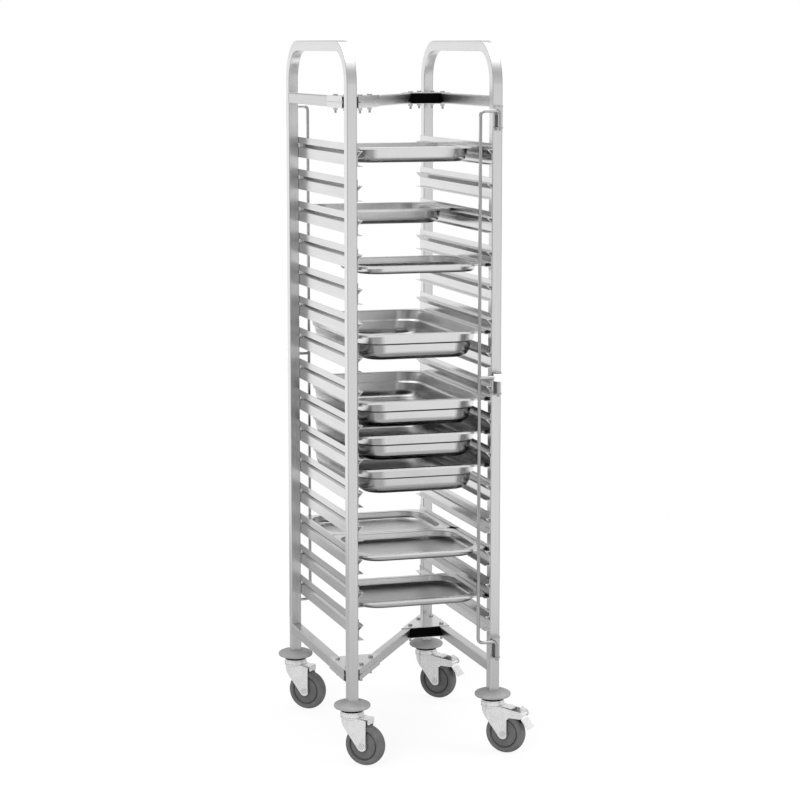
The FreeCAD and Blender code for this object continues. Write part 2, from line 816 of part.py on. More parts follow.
def gate_rod_solid():
    """Front retaining rod: long run, three arms and three pins on the pivot axis."""
    radius = gate_rod / 2
    pin_x = post_x
    run_x = post_x - gate_reach
    y = gate_axis_y
    main = bent_rod([Vector(pin_x, y, gate_top - gate_pin), Vector(pin_x, y, gate_top),
                     Vector(run_x, y, gate_top), Vector(run_x, y, gate_bottom),
                     Vector(pin_x, y, gate_bottom), Vector(pin_x, y, gate_bottom - gate_pin)],
                    [gate_pin_bend, gate_bend, gate_bend, gate_pin_bend], radius)
    middle = bent_rod([Vector(run_x, y, gate_middle), Vector(pin_x, y, gate_middle),
                       Vector(pin_x, y, gate_middle - gate_pin)], [gate_pin_bend], radius)
    return joined([main, middle])


def gate_grip(rod):
    """Moulded block clipped on the middle arm's bend."""
    low = gate_middle - grip_height / 2
    body = rounded_block(grip_width / 2, grip_depth / 2, grip_round, low, low + grip_height)
    body.translate(Vector(post_x, gate_axis_y, 0))
    return body.cut(rod)


def eye_bracket(arm_z):
    """Plate on the post with a keeper tab over the arm and an eye for the pin under it."""
    face = -half_depth
    front = face - eye_sheet
    left = post_x - eye_width / 2
    right = post_x + eye_width / 2
    top = arm_z + eye_above
    bottom = arm_z - eye_below
    pieces = [block((left, front, bottom), (right, face, top))]
    for low in (top - eye_sheet, bottom + eye_tab_up):
        tab = block((post_x - eye_tab_round, gate_axis_y, low),
                    (post_x + eye_tab_round, front, low + eye_sheet))
        pieces.append(tab)
        pieces.append(disc(eye_tab_round, low, low + eye_sheet, post_x, gate_axis_y))
    body = joined(pieces)
    eye_low = bottom + eye_tab_up
    return body.cut(disc(gate_rod / 2 + bore_gap, eye_low - cut_over, eye_low + eye_sheet + cut_over,
                         post_x, gate_axis_y))


def eye_pad(arm_z):
    """Black wear pad on the eye bracket's plate."""
    front = -half_depth - eye_sheet
    left = post_x - eye_width / 2 + pad_inset
    low = arm_z - eye_below + eye_tab_up + eye_sheet
    return block((left, front - pad_depth, low), (left + pad_width, front, arm_z - pad_top_gap))


def make_frame():
    """Hoops, rails, diagonals and the corner brackets that hold them."""
    nodes["right_hoop"] = [hoop()]
    nodes["left_hoop"] = [opposite(hoop())]
    bolts = []
    nuts = []
    inserts = []
    for name, z in (("bottom", bottom_rail_z), ("top", top_rail_z)):
        nodes["right_" + name + "_rail"] = [side_rail(z)]
        nodes["left_" + name + "_rail"] = [opposite(side_rail(z))]
        nodes[name + "_diagonal"] = [diagonal(z)]
        halves = corner_bracket(z)
        nodes["rear_right_" + name + "_bracket"] = halves
        nodes["front_left_" + name + "_bracket"] = [opposite(half) for half in halves]
        for piece in (bracket_insert(z), rail_end_plug(z)):
            inserts += [piece, opposite(piece)]
        for x, y in bolt_places():
            for way in (1, -1):
                bolts.append(bracket_bolt(way * x, way * y, z))
                nuts.append(bracket_nut(way * x, way * y, z))
    nodes["bracket_inserts"] = inserts
    nodes["bracket_bolts"] = bolts
    nodes["bracket_nuts"] = nuts


def make_runners():
    """Fifteen runners welded inside each hoop."""
    right = [runner(level_top(level)) for level in range(1, level_count + 1)]
    nodes["right_runners"] = right
    nodes["left_runners"] = [mirrored(piece) for piece in right]


def make_gates():
    """Retaining rods with their eyes, pads and grips."""
    rod = gate_rod_solid()
    grip = gate_grip(rod)
    arms = (gate_top, gate_middle, gate_bottom)
    eyes = [eye_bracket(z) for z in arms]
    pads = [eye_pad(z) for z in arms]
    nodes["front_gate_rod"] = [rod]
    nodes["rear_gate_rod"] = [opposite(rod)]
    nodes["front_gate_grip"] = [grip]
    nodes["rear_gate_grip"] = [opposite(grip)]
    nodes["front_gate_eyes"] = eyes
    nodes["rear_gate_eyes"] = [opposite(piece) for piece in eyes]
    nodes["gate_wear_pads"] = pads + [opposite(piece) for piece in pads]


def make_casters():
    """Four swivel casters, those on the right with a brake."""
    corners = (("front_left", -1, -1), ("front_right", 1, -1), ("rear_left", -1, 1), ("rear_right", 1, 1))
    fixed = {"swivel_races": swivel_race(), "swivel_seals": swivel_seal(),
             "corner_bumpers": bumper(), "post_plugs": post_plug()}
    for name, shape in fixed.items():
        nodes[name] = [moved(shape, x * post_x, y * post_y) for _, x, y in corners]
    turning = {"axle": axle(), "tyre": tyre(), "hub": hub()}
    plain = fork(False)
    braked = fork(True)
    brake = {"brake_pin": brake_pin(), "brake_pedal": brake_pedal(), "brake_shoe": brake_shoe()}
    for corner, x, y in corners:
        shapes = dict(turning, fork=braked if x > 0 else plain)
        if x > 0:
            shapes.update(brake)
        for name, shape in shapes.items():
            nodes[corner + "_" + name] = [caster_place(shape, x, y)]


def write_nodes():
    """One STEP file for each node."""
    os.makedirs("parts", exist_ok=True)
    for name, shapes in nodes.items():
        shape = shapes[0] if len(shapes) == 1 else Part.makeCompound(shapes)
        solids = len(shape.Solids)
        print(name, "solids", solids, "valid", shape.isValid(), "volume", round(shape.Volume))
        shape.exportStep("parts/" + name + ".step")


make_frame()
make_runners()
make_gates()
make_casters()
place_trays()
write_nodes()
print("nodes", len(nodes), "height", round(hoop_top_z + tube / 2, 1), "width", overall_width)
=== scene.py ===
import math

import bpy
from bpy.props import FloatProperty, FloatVectorProperty, PointerProperty
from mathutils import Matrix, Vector


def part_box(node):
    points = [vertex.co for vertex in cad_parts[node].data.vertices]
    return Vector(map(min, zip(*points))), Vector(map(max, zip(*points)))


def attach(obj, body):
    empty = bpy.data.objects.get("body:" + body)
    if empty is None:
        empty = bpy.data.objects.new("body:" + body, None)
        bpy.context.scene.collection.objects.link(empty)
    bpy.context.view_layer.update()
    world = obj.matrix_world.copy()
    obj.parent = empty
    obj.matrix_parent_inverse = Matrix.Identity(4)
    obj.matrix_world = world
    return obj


bl_info = {
    "name": "Tray trolley",
    "version": (1, 0, 0),
    "blender": (4, 5, 0),
    "location": "3D View > Sidebar > Tray Trolley",
    "description": "Finishes of a tray trolley's frame, runners, trays, gates and casters, and its stage",
    "category": "Object",
}

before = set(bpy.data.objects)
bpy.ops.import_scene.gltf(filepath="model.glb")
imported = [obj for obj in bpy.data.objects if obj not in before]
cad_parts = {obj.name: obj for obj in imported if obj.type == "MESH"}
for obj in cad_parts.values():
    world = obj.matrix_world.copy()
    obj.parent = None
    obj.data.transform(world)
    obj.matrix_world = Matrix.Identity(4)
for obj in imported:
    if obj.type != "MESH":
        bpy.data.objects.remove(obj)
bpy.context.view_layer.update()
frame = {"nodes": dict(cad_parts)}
nodes = frame["nodes"]

CORNERS = ("front_left", "front_right", "rear_left", "rear_right")
BRAKED = ("front_right", "rear_right")
RAILS = ("left_top_rail", "right_top_rail", "left_bottom_rail", "right_bottom_rail")

# Places on the solids, in metres.
HOOP_BEND = 0.0875           # radius of the hoops' bends, on the middle line of the tube
RAIL_END = 0.2495            # rail ends further out than this meet a post
TUBE_CORNER = 0.002          # outer corner radius of the square tube
POST_MIDDLE = 0.0125         # from a runner's end in to the middle of its post
LEVEL_PITCH = 0.08
SPOT_DOWN = 0.0075           # from a runner's top edge down to its spot welds
FLOOR_FROM, FLOOR_TO = 0.002, 0.012   # over this height a tray's floor turns into its wall
SOFT_EDGE = 0.0005           # radius of the softened edges on sheet and mouldings

# The boards of the stage. A board's place is its compass direction from the trolley's foot, 0 toward
# -Y and + toward +X, and half its width, both in degrees.
LEFT_BOARD = (-32, 35)
RIGHT_BOARD = (55, 20)
REAR_PATCH = (-163, 25)
BOARD_EDGE = 15              # half the soft edge of a board, in degrees
BOARD_RADIUS = 7.0           # from the foot to the wall that carries the boards, in metres
# Height of the dark sheet on the floor that carries the painted shadow round the foot and the low boards.
FLOOR_BOARD_HEIGHT = 0.0005

# Where the boards and the floor fade, as start and end from the foot or over the floor, in metres.
SIDES_NEAR = (0.8, 1.6)
REAR_NEAR = (0.9, 1.4)
REAR_FAR = (2.2, 3.2)
FLOOR_FADE = (0.8, 4.0)
UPPER_RISE = (2.8, 3.8)      # the band gets darker by the upper share
UPPER_SHARE = 0.15
BAND_RISE = 0.6              # height over which the band sets in
BAND_FADE = 2.0              # height over which it ends

CAMERA_PLACE = (-1.7439, -5.6739, 1.6981)
CAMERA_DOWN = 8.296          # degrees below the horizon
CAMERA_TURN = -17.304        # degrees about Z, from +Y
CAMERA_LENS = 109.40


def middle(node):
    """Centre of a node's box."""
    low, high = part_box(node)
    return (low + high) / 2


def span(node):
    """Size of a node's box."""
    low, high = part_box(node)
    return high - low


class Value:
    """A number that changes over a surface. Sums and products of values add their Math nodes."""

    def __init__(self, nodes, socket):
        self.nodes = nodes
        self.socket = socket

    def math(self, operation, *others, first=None):
        inputs = [self, *others] if first is None else [first, self]
        return self.nodes.node("ShaderNodeMath", {"operation": operation}, dict(enumerate(inputs)))

    def __add__(self, other):
        return self.math("ADD", other)

    def __radd__(self, other):
        return self.math("ADD", other)

    def __sub__(self, other):
        return self.math("SUBTRACT", other)

    def __rsub__(self, other):
        return self.math("SUBTRACT", first=other)

    def __mul__(self, other):
        return self.math("MULTIPLY", other)

    def __rmul__(self, other):
        return self.math("MULTIPLY", other)

    def __truediv__(self, other):
        return self.math("DIVIDE", other)

    def __pow__(self, other):
        return self.math("POWER", other)

    def __abs__(self):
        return self.math("ABSOLUTE")

    def root(self):
        return self.math("SQRT")

    def fraction(self):
        return self.math("FRACT")

    def above(self, other):
        return self.math("MAXIMUM", other)

    def step(self, start, end):
        """Smooth rise from 0 at start to 1 at end."""
        ranged = {"data_type": "FLOAT", "interpolation_type": "SMOOTHSTEP"}
        return self.nodes.node("ShaderNodeMapRange", ranged, {0: self, 1: start, 2: end})


class Nodes:
    """The nodes of a material or of the world."""

    def __init__(self, tree):
        self.tree = tree
        self.tree.nodes.clear()

    def node(self, kind, settings=None, inputs=None, output=0):
        """Adds any node, sets it up, and gives back one of its outputs."""
        made = self.tree.nodes.new(kind)
        for setting, value in (settings or {}).items():
            setattr(made, setting, value)
        for key, value in (inputs or {}).items():
            self.join(made.inputs[key], value)
        return Value(self, made.outputs[output]) if made.outputs else None

    def join(self, socket, value):
        if isinstance(value, Value):
            self.tree.links.new(value.socket, socket)
        elif socket.type == "RGBA":
            socket.default_value = (*value[:3], 1)
        else:
            socket.default_value = value

    def position(self):
        """X, Y and Z over the object, in metres, as it stands at rest."""
        place = self.node("ShaderNodeTexCoord", output="Object")
        return [self.node("ShaderNodeSeparateXYZ", inputs={0: place}, output=axis) for axis in range(3)]

    def facing_down(self, start, end):
        """Rises from 0 to 1 as a surface turns from upright to facing the floor."""
        facing = self.node("ShaderNodeTexCoord", output="Normal")
        return (0 - self.node("ShaderNodeSeparateXYZ", inputs={0: facing}, output=2)).step(start, end)

    def noise(self, x, y, z, detail=2.0, roughness=0.5):
        """Cloudy noise from 0 to 1, one grain to the unit: a place times 9 has 9 grains to the metre."""
        place = self.node("ShaderNodeCombineXYZ", inputs={0: x, 1: y, 2: z})
        sockets = {"Vector": place, "Scale": 1.0, "Detail": detail, "Roughness": roughness}
        return self.node("ShaderNodeTexNoise", inputs=sockets)

    def mix(self, share, low, high):
        """Colour between two colours."""
        return self.node("ShaderNodeMix", {"data_type": "RGBA"}, {0: share, 6: low, 7: high}, output=2)

    def blend(self, share, low, high):
        """Shader between two shaders."""
        return self.node("ShaderNodeMixShader", inputs={0: share, 1: low, 2: high})

    def seen(self):
        """1 for rays from the camera or off metal and glass, 0 for the rest."""
        rays = [self.node("ShaderNodeLightPath", output=kind)
                for kind in ("Is Camera Ray", "Is Glossy Ray", "Is Transmission Ray")]
        return rays[0].above(rays[1]).above(rays[2])


class Finish(Nodes):
    """One procedural material round a single shader."""

    def __init__(self, name, **fixed):
        self.material = bpy.data.materials.new(name)
        self.material.use_nodes = True
        super().__init__(self.material.node_tree)
        shader = self.node("ShaderNodeBsdfPrincipled")
        self.shader = shader.socket.node
        self.node("ShaderNodeOutputMaterial", inputs={"Surface": shader})
        for socket, value in fixed.items():
            self.feed(socket.replace("_", " ").title().replace("Ior", "IOR"), value)

    def feed(self, socket, value):
        self.join(self.shader.inputs[socket], value)

    def bump(self, height, strength, distance, edge=0.0):
        """Feeds the surface's relief, over softened edges where an edge radius is given."""
        sockets = {"Strength": strength, "Distance": distance, "Height": height}
        if edge:
            sockets["Normal"] = self.node("ShaderNodeBevel", {"samples": 4}, {"Radius": edge})
        self.feed("Normal", self.node("ShaderNodeBump", inputs=sockets))


def grade(color, factor):
    """A colour made lighter or darker."""
    return tuple(min(part * factor, 1.0) for part in color[:3])


def brushed_steel(name, color, roughness, across, beside, along, edge=0.0):
    """Satin steel with fine lines along one direction, given as functions of the place."""
    finish = Finish(name, metallic=1.0)
    x, y, z = finish.position()
    a, b, run = across(x, y, z), beside(x, y, z), along(x, y, z)
    lines = finish.noise(a * 420, b * 420, run * 5)
    fine = finish.noise(a * 1500, b * 1500, run * 14, detail=1.0)
    cloud = finish.noise(x * 9, y * 9, z * 5, detail=3.0)
    share = (lines * 0.55 + fine * 0.2 + cloud * 0.25).step(0.3, 0.72)
    finish.feed("Base Color", finish.mix(share, grade(color, 0.9), grade(color, 1.05)))
    finish.feed("Roughness", roughness + (lines - 0.5) * 0.14 + (cloud - 0.5) * 0.08)
    finish.bump(lines * 0.6 + fine * 0.4, 0.10, 0.0002, edge)
    return finish


def dress(names, finish):
    """Gives CAD nodes one finish."""
    for name in names:
        for slot in nodes[name].material_slots:
            slot.material = finish.material


def own(piece, body, finish):
    """A new piece: its finish, its place in the scene and the body that it moves with."""
    piece.data.materials.append(finish.material)
    bpy.context.scene.collection.objects.link(piece)
    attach(piece, body)


class FrameSettings(bpy.types.PropertyGroup):
    """Posts, rails and diagonals"""
    steel: FloatVectorProperty(name="Steel", description="Colour of the satin tubes", subtype="COLOR",
                               size=3, min=0, max=1, default=(0.83, 0.83, 0.835))
    roughness: FloatProperty(name="Roughness", description="Roughness of the satin tubes",
                             default=0.30, min=0.02, max=1, subtype="FACTOR")
    weld: FloatProperty(name="Weld bead", description="Radius of the weld beads at the rail ends",
                        default=0.0011, min=0.0002, max=0.004, unit="LENGTH")


class RunnerSettings(bpy.types.PropertyGroup):
    """Folded runners"""
    steel: FloatVectorProperty(name="Steel", description="Colour of the folded sheet", subtype="COLOR",
                               size=3, min=0, max=1, default=(0.74, 0.74, 0.745))
    roughness: FloatProperty(name="Roughness", description="Roughness of the folded sheet",
                             default=0.17, min=0.02, max=1, subtype="FACTOR")
    spot: FloatProperty(name="Spot weld", description="Radius of the spot welds on the flanges",
                        default=0.0028, min=0.001, max=0.006, unit="LENGTH")


class TraySettings(bpy.types.PropertyGroup):
    """Pressed trays"""
    steel: FloatVectorProperty(name="Steel", description="Colour of the pressed sheet", subtype="COLOR",
                               size=3, min=0, max=1, default=(0.79, 0.79, 0.795))
    roughness: FloatProperty(name="Roughness", description="Roughness of the pressed sheet",
                             default=0.24, min=0.02, max=1, subtype="FACTOR")
    # Painted shade: how bright the faces turned toward the floor are painted.
    underside: FloatProperty(name="Underside", description="How bright the dull underside stays",
                             default=0.3, min=0, max=1, subtype="FACTOR")


class CasterSettings(bpy.types.PropertyGroup):
    """Casters and bumpers"""
    zinc: FloatVectorProperty(name="Zinc", description="Colour of the plated forks and races",
                              subtype="COLOR", size=3, min=0, max=1, default=(0.93, 0.93, 0.935))
    tread: FloatVectorProperty(name="Tread", description="Colour of the tyres", subtype="COLOR",
                               size=3, min=0, max=1, default=(0.10, 0.10, 0.102))
    hub: FloatVectorProperty(name="Hub", description="Colour of the wheel centres", subtype="COLOR",
                             size=3, min=0, max=1, default=(0.095, 0.095, 0.097))
    bumper: FloatVectorProperty(name="Bumper", description="Colour of the round bumpers",
                                subtype="COLOR", size=3, min=0, max=1, default=(0.265, 0.265, 0.265))


class GateSettings(bpy.types.PropertyGroup):
    """Retaining rods"""
    grip: FloatVectorProperty(name="Grip", description="Colour of the moulded grips", subtype="COLOR",
                              size=3, min=0, max=1, default=(0.97, 0.97, 0.96))
    black: FloatVectorProperty(name="Black", description="Colour of the black mouldings",
                               subtype="COLOR", size=3, min=0, max=1, default=(0.002, 0.002, 0.002))
    # Painted shade: the dark pads in the eyes stand in for the shade between each pin and its eye plate.
    pad: FloatVectorProperty(name="Pad", description="Colour of the shading pads in the eyes",
                             subtype="COLOR", size=3, min=0, max=1, default=(0.07, 0.07, 0.07))


class StageSettings(bpy.types.PropertyGroup):
    """Floor, dark boards and lamps"""
    floor: FloatProperty(name="Floor", description="Half the side of the floor", default=14.0,
                         min=2, max=60, unit="LENGTH")
    tone: FloatProperty(name="Board tone", description="Tone of the dark boards that the steel mirrors",
                        default=0.12, min=0, max=1)
    # Painted shadow: the dark disc round the foot that the steel mirrors in place of the trolley's shade
    # on the floor.
    mat: FloatProperty(name="Dark mat", description="Radius of the dark mat round the foot",
                       default=2.2, min=0.5, max=6, unit="LENGTH")
    ground_shadow_share: FloatProperty(name="Shadow cover", description="How much of the floor the mat hides",
                             default=0.55, min=0, max=1, subtype="FACTOR")
    left_share: FloatProperty(name="Left board", description="How much the board on the left hides",
                              default=0.68, min=0, max=1, subtype="FACTOR")
    right_share: FloatProperty(name="Right board", description="How much the board on the right hides",
                               default=0.9, min=0, max=1, subtype="FACTOR")
    rear_share: FloatProperty(name="Rear patch", description="How much the patch behind hides",
                              default=0.6, min=0, max=1, subtype="FACTOR")
    band_share: FloatProperty(name="High band", description="How much the band above the horizon hides",
                              default=0.4, min=0, max=1, subtype="FACTOR")
    band_low: FloatProperty(name="Band foot", description="Height where the high band starts",
                            default=1.7, min=0, max=6, unit="LENGTH")
    band_high: FloatProperty(name="Band top", description="Height where the high band ends",
                             default=8.6, min=1, max=12, unit="LENGTH")
    soft_light: FloatProperty(name="Soft light", description="Strength of the light from all round",
                              default=0.75, min=0, max=4)
    key_light: FloatProperty(name="Key light", description="Power of the large soft lamps, in watts",
                             default=70.0, min=0, max=2000)


class TROLLEY_OT_frame(bpy.types.Operator):
    """Satin steel on the hoops, rails and diagonals, with weld beads at the rail ends"""
    bl_idname = "trolley.frame"
    bl_label = "Frame"

    def execute(self, context):
        settings = context.scene.trolley_frame
        low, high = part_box("right_hoop")
        tube = high.x - low.x
        post = high.y - tube / 2
        spring = high.z - tube / 2 - HOOP_BEND

        def from_middle(x, y, z):
            side = (abs(y) - (post - HOOP_BEND)).above(0.0)
            rise = (z - spring).above(0.0)
            return (side * side + rise * rise).root()

        def round_hoop(x, y, z):
            return z - abs(y)

        hoop = brushed_steel("satin_hoop", settings.steel, settings.roughness,
                             from_middle, lambda x, y, z: x, round_hoop)
        dress(["left_hoop", "right_hoop"], hoop)
        # Painted shade: the rails and diagonals get darker copies of the hoops' steel.
        rail = brushed_steel("satin_rail", grade(settings.steel, 0.82), settings.roughness,
                             lambda x, y, z: x, lambda x, y, z: z, lambda x, y, z: y)
        dress(RAILS, rail)
        reach = span("top_diagonal")
        turn = math.atan2(reach.y, reach.x)
        c, s = math.cos(turn), math.sin(turn)
        cross = brushed_steel("satin_diagonal", grade(settings.steel, 0.88), settings.roughness,
                              lambda x, y, z: y * c - x * s, lambda x, y, z: z,
                              lambda x, y, z: x * c + y * s)
        dress(["top_diagonal", "bottom_diagonal"], cross)
        self.weld_beads(settings, tube)
        return {"FINISHED"}

    @staticmethod
    def weld_beads(settings, tube):
        """A rippled bead round each rail end that meets a post."""
        finish = Finish("weld_bead", metallic=1.0, roughness=0.34)
        x, y, z = finish.position()
        ripple = finish.noise(x * 600, y * 600, z * 600)
        finish.feed("Base Color", finish.mix(ripple, grade(settings.steel, 0.6), settings.steel))
        finish.bump(ripple, 0.5, 0.0004)
        for name in RAILS:
            low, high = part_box(name)
            ends = [y for y in (low.y, high.y) if abs(y) > RAIL_END]
            for end in ends:
                place = Vector(((low.x + high.x) / 2, end, (low.z + high.z) / 2))
                bead = bead_round_tube(name + "_weld", place, tube, settings.weld)
                own(bead, "frame", finish)


def bead_round_tube(name, place, tube, radius):
    """Closed curve with a round section on a square tube's outline, across Y."""
    curve = bpy.data.curves.new(name, "CURVE")
    curve.dimensions = "3D"
    curve.bevel_depth = radius
    curve.bevel_resolution = 2
    line = curve.splines.new("POLY")
    sunk = radius * 0.3
    back = math.copysign(radius * 0.4, place.y)
    flat = tube / 2 - sunk - TUBE_CORNER
    steps = 4
    points = []
    for turn, (side_x, side_z) in enumerate(((1, 1), (-1, 1), (-1, -1), (1, -1))):
        for part in range(steps + 1):
            angle = math.pi / 2 * (turn + part / steps)
            points.append((side_x * flat + TUBE_CORNER * math.cos(angle),
                           side_z * flat + TUBE_CORNER * math.sin(angle)))
    line.points.add(len(points) - 1)
    for point, (x, z) in zip(line.points, points):
        point.co = (place.x + x, place.y - back, place.z + z, 1)
    line.use_cyclic_u = True
    return bpy.data.objects.new(name, curve)


class TROLLEY_OT_brackets(bpy.types.Operator):
    """Satin steel on the corner brackets, darker bright steel on their bolts as painted shade, black on
    their inserts, partly painted shade where they fill the gap between rail end and post
    """
    bl_idname = "trolley.brackets"
    bl_label = "Brackets"

    def execute(self, context):
        settings = context.scene.trolley_frame
        sheet = brushed_steel("satin_bracket", grade(settings.steel, 0.92), settings.roughness * 0.8,
                              lambda x, y, z: x, lambda x, y, z: z, lambda x, y, z: y, 0.0006)
        names = [corner + "_" + end + "_bracket" for corner in ("front_left", "rear_right")
                 for end in ("top", "bottom")]
        dress(names, sheet)
        # Painted shade: the bolts and nuts get a darker copy of the tube steel.
        fixing = brushed_steel("bright_fixing", grade(settings.steel, 0.7), 0.2,
                               lambda x, y, z: x, lambda x, y, z: y, lambda x, y, z: z, 0.0003)
        dress(["bracket_bolts", "bracket_nuts"], fixing)
        # Black moulding on the inserts; where they fill the gap between rail end and post they are
        # painted shade.
        black = context.scene.trolley_gates.black
        dress(["bracket_inserts"], moulded("black_insert_and_gap_shade", black, 0.5, shine=0.02))
        return {"FINISHED"}


def zinc_plate(name, color, roughness):
    """Pale plated zinc with faint clouding and small marks."""
    finish = Finish(name, metallic=0.75)
    x, y, z = finish.position()
    cloud = finish.noise(x * 60, y * 60, z * 60, detail=4.0)
    marks = finish.noise(x * 420, y * 420, z * 420, detail=2.0).step(0.58, 0.7)
    finish.feed("Base Color", finish.mix(cloud.step(0.3, 0.7), grade(color, 0.95), grade(color, 1.03)))
    finish.feed("Roughness", roughness + (cloud - 0.5) * 0.08 + marks * 0.03)
    finish.bump(cloud * 0.7 + marks * 0.3, 0.012, 0.0002, SOFT_EDGE)
    return finish


def moulded(name, color, roughness, grain=900.0, shine=0.3):
    """Moulded plastic with a fine matt grain."""
    finish = Finish(name, specular_ior_level=shine)
    x, y, z = finish.position()
    pebble = finish.noise(x * grain, y * grain, z * grain, detail=1.0)
    cloud = finish.noise(x * 30, y * 30, z * 30, detail=3.0)
    finish.feed("Base Color", finish.mix(cloud.step(0.3, 0.7), grade(color, 0.9), grade(color, 1.08)))
    finish.feed("Roughness", roughness + (cloud - 0.5) * 0.12 + (pebble - 0.5) * 0.08)
    finish.bump(pebble, 0.15, 0.0002, SOFT_EDGE)
    return finish


class TROLLEY_OT_runners(bpy.types.Operator):
    """Bright folded sheet on the runners, with spot welds at the posts and painted shade on their
    undersides
    """
    bl_idname = "trolley.runners"
    bl_label = "Runners"

    def execute(self, context):
        settings = context.scene.trolley_runners
        low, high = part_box("right_runners")
        finish = Finish("bright_runner", metallic=1.0)
        x, y, z = finish.position()
        lines = finish.noise(x * 500, y * 4, z * 500)
        cloud = finish.noise(x * 30, y * 5, z * 30, detail=3.0)
        share = (lines * 0.5 + cloud * 0.5).step(0.3, 0.7)
        sheet = finish.mix(share, grade(settings.steel, 0.9), grade(settings.steel, 1.05))
        # Painted shade: faces turned toward the floor get a darker copy of the sheet colour.
        shaded = grade(settings.steel, 0.35)
        finish.feed("Base Color", finish.mix(finish.facing_down(0.3, 0.9), sheet, shaded))
        post = high.y - POST_MIDDLE
        rise = ((high.z - SPOT_DOWN - z) / LEVEL_PITCH + 0.5).fraction() - 0.5
        away = ((abs(y) - post) ** 2 + (rise * LEVEL_PITCH) ** 2).root()
        spot = 1 - (away / settings.spot).step(0.6, 1.0)
        grain = (lines - 0.5) * 0.1 + (cloud - 0.5) * 0.12
        finish.feed("Roughness", settings.roughness + grain + spot * 0.2)
        finish.bump(lines * 0.2 + cloud * 0.3 + spot * 0.5, 0.12, 0.0003, SOFT_EDGE)
        dress(["left_runners", "right_runners"], finish)
        return {"FINISHED"}


class TROLLEY_OT_trays(bpy.types.Operator):
    """Bright pressed sheet on the trays"""
    bl_idname = "trolley.trays"
    bl_label = "Trays"

    def execute(self, context):
        settings = context.scene.trolley_trays
        for name in [node for node in nodes if node.startswith("tray_")]:
            dress([name], self.pressed(name + "_sheet", settings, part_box(name)[0].z))
        return {"FINISHED"}

    @staticmethod
    def pressed(name, settings, bottom):
        """Deep drawn sheet: drawn lines down its walls, a faint weave on its floor, painted shade on its
        underside.
        """
        finish = Finish(name, metallic=1.0)
        x, y, z = finish.position()
        floor = 1 - z.step(bottom + FLOOR_FROM, bottom + FLOOR_TO)
        lines = finish.noise(x * 260, y * 260, z * 20)
        weave = finish.noise(x * 700, y * 40, z * 40, detail=1.0)
        cloud = finish.noise(x * 11, y * 11, z * 30, detail=3.0)
        share = (cloud * 0.8 + lines * 0.2).step(0.3, 0.7)
        sheet = finish.mix(share, grade(settings.steel, 0.95), grade(settings.steel, 1.04))
        # Painted shade: faces turned toward the floor darken toward the underside tone.
        shaded = finish.facing_down(0.12, 0.75)
        finish.feed("Base Color", finish.mix(shaded, sheet, grade(settings.steel, settings.underside)))
        rough = settings.roughness + floor * 0.06 + (cloud - 0.5) * 0.08 + (weave - 0.5) * floor * 0.05
        finish.feed("Roughness", rough)
        finish.bump(cloud * 0.5 + lines * (1 - floor) * 0.02 + weave * floor * 0.05, 0.10, 0.0008)
        return finish


class TROLLEY_OT_gates(bpy.types.Operator):
    """Bright rods, their eyes, the dark pads that paint the shade beside the pins, and grips"""
    bl_idname = "trolley.gates"
    bl_label = "Gates"

    def execute(self, context):
        settings = context.scene.trolley_gates
        steel = context.scene.trolley_frame.steel
        rod = brushed_steel("bright_rod", grade(steel, 0.8), 0.2,
                            lambda x, y, z: x, lambda x, y, z: y, lambda x, y, z: z)
        dress(["front_gate_rod", "rear_gate_rod"], rod)
        eye = brushed_steel("satin_eye", grade(steel, 0.85), 0.28,
                            lambda x, y, z: x, lambda x, y, z: y, lambda x, y, z: z, SOFT_EDGE)
        dress(["front_gate_eyes", "rear_gate_eyes"], eye)
        # Painted shade: dark pads put where the eyes only have shade beside the pins.
        dress(["gate_wear_pads"], moulded("painted_shade_pad", settings.pad, 0.5))
        dress(["front_gate_grip", "rear_gate_grip"], moulded("white_grip", settings.grip, 0.38))
        return {"FINISHED"}


class TROLLEY_OT_casters(bpy.types.Operator):
    """Zinc plate on the forks, grey rubber on the wheels and bumpers"""
    bl_idname = "trolley.casters"
    bl_label = "Casters"

    def execute(self, context):
        settings = context.scene.trolley_casters
        black = context.scene.trolley_gates.black
        zinc = zinc_plate("zinc_fork", settings.zinc, 0.26)
        dress([corner + "_fork" for corner in CORNERS] + ["swivel_races"], zinc)
        axle = zinc_plate("zinc_axle", grade(settings.zinc, 0.8), 0.15)
        dress([corner + "_axle" for corner in CORNERS], axle)
        for corner in BRAKED:
            dress([corner + "_brake_pedal", corner + "_brake_pin"], zinc)
            dress([corner + "_brake_shoe"], moulded(corner + "_shoe_rubber", grade(black, 1.5), 0.6))
        for corner in CORNERS:
            centre = middle(corner + "_tyre")
            dress([corner + "_tyre"], self.wheel(corner + "_tread_rubber", settings.tread, centre, 0.5))
            dress([corner + "_hub"], self.wheel(corner + "_hub_plastic", settings.hub, centre, 0.42))
        dress(["corner_bumpers"], moulded("grey_bumper", settings.bumper, 0.45, 500.0))
        dress(["swivel_seals", "post_plugs"], moulded("black_seal", black, 0.5, shine=0.06))
        return {"FINISHED"}

    @staticmethod
    def wheel(name, color, centre, roughness):
        """Grey moulding with faint turned rings about the wheel's axle."""
        finish = Finish(name, specular_ior_level=0.3)
        x, y, z = finish.position()
        side = ((x - centre.x) + (y - centre.y)) * math.sqrt(0.5)
        along = ((x - centre.x) - (y - centre.y)) * math.sqrt(0.5)
        radius = (along * along + (z - centre.z) ** 2).root()
        rings = finish.noise(radius * 900, side * 900, 0.0, detail=1.0)
        pebble = finish.noise(x * 700, y * 700, z * 700, detail=1.0)
        cloud = finish.noise(x * 45, y * 45, z * 45, detail=3.0)
        share = (rings * 0.3 + cloud * 0.7).step(0.3, 0.7)
        finish.feed("Base Color", finish.mix(share, grade(color, 0.85), grade(color, 1.12)))
        finish.feed("Roughness", roughness + (cloud - 0.5) * 0.14 + (rings - 0.5) * 0.1)
        finish.bump(rings * 0.6 + pebble * 0.4, 0.15, 0.0003)
        return finish


